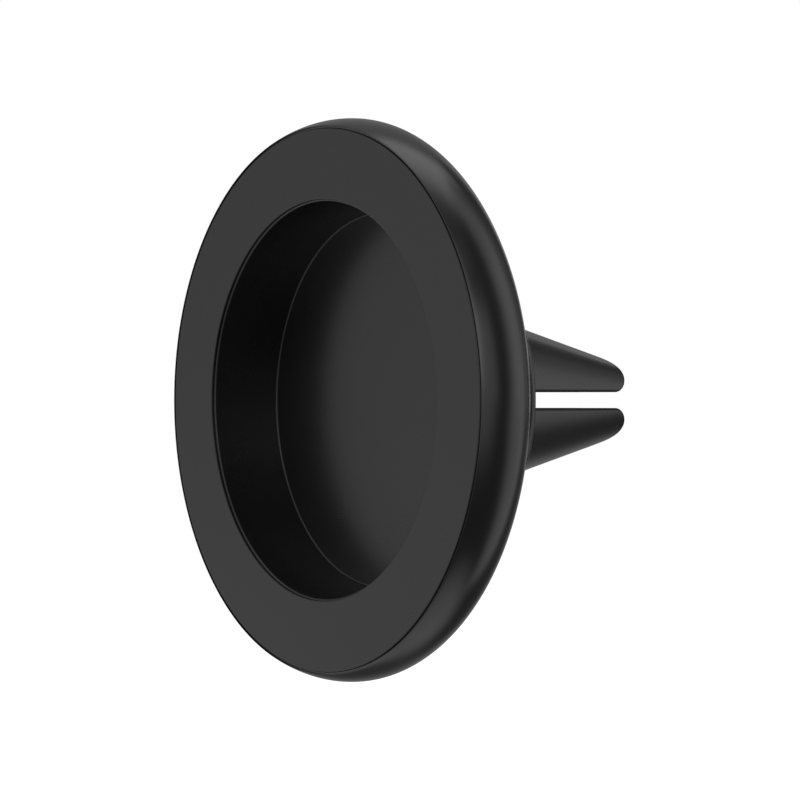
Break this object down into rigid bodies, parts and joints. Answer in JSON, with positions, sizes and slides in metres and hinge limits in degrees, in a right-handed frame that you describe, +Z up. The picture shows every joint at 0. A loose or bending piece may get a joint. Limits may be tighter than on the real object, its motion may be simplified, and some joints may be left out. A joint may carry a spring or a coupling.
{
  "type": "car phone mount",
  "caption": "Round magnetic phone mount head with a shallow round recess, swivelling on a split-cone clip that grips a car air vent blade.",
  "frame": {"origin": "centre of the flat recess floor, on its front face", "axes": "+Y along the swivel axis, away from the phone towards the vent clip; +Z up in use; the face that meets the phone looks along -Y"},
  "size_m": [0.06, 0.0383, 0.06],
  "materials": {
    "face_moulding": "smooth matte black",
    "shell_moulding": "satin black",
    "clip_moulding": "satin black",
    "prong_rubber": "satin black rubber",
    "core_nylon": "glass-filled nylon",
    "glide_acetal": "natural acetal",
    "magnet_nickel": "nickel plate",
    "plated_steel": "zinc plate"
  },
  "bodies": {
    "clip": {"clip_hub": "clip_moulding", "wave_spring": "plated_steel", "retaining_washer": "plated_steel", "swivel_screw": "plated_steel"},
    "head": {"face_cup": "face_moulding", "body_shell": "shell_moulding", "yoke_ring": "plated_steel", "glide_ring": "glide_acetal", "magnet_01": "magnet_nickel", "magnet_02": "magnet_nickel", "magnet_03": "magnet_nickel", "magnet_04": "magnet_nickel", "magnet_05": "magnet_nickel", "magnet_06": "magnet_nickel", "magnet_07": "magnet_nickel", "magnet_08": "magnet_nickel", "magnet_09": "magnet_nickel", "magnet_10": "magnet_nickel", "magnet_11": "magnet_nickel", "magnet_12": "magnet_nickel", "magnet_13": "magnet_nickel", "magnet_14": "magnet_nickel", "magnet_15": "magnet_nickel", "magnet_16": "magnet_nickel"},
    "prong_1": {"prong_core_1": "core_nylon", "prong_boot_1": "prong_rubber"},
    "prong_2": {"prong_core_2": "core_nylon", "prong_boot_2": "prong_rubber"},
    "prong_3": {"prong_core_3": "core_nylon", "prong_boot_3": "prong_rubber"},
    "prong_4": {"prong_core_4": "core_nylon", "prong_boot_4": "prong_rubber"}
  },
  "joints": [
    {"name": "head_swivel", "type": "hinge", "parent": "clip", "child": "head", "pos_m": [0, 0, 0], "axis": [0, 1, 0], "continuous": true},
    {"name": "prong_1_flex", "type": "hinge", "parent": "clip", "child": "prong_1", "pos_m": [0.00495, 0.0107, 0.00495], "axis": [0.7071, 0, -0.7071], "range_deg": [-2.5, 4], "stiffness_Nm_per_rad": 1.5},
    {"name": "prong_2_flex", "type": "hinge", "parent": "clip", "child": "prong_2", "pos_m": [-0.00495, 0.0107, 0.00495], "axis": [0.7071, 0, 0.7071], "range_deg": [-2.5, 4], "stiffness_Nm_per_rad": 1.5},
    {"name": "prong_3_flex", "type": "hinge", "parent": "clip", "child": "prong_3", "pos_m": [-0.00495, 0.0107, -0.00495], "axis": [-0.7071, 0, 0.7071], "range_deg": [-2.5, 4], "stiffness_Nm_per_rad": 1.5},
    {"name": "prong_4_flex", "type": "hinge", "parent": "clip", "child": "prong_4", "pos_m": [0.00495, 0.0107, -0.00495], "axis": [-0.7071, 0, -0.7071], "range_deg": [-2.5, 4], "stiffness_Nm_per_rad": 1.5}
  ]
}
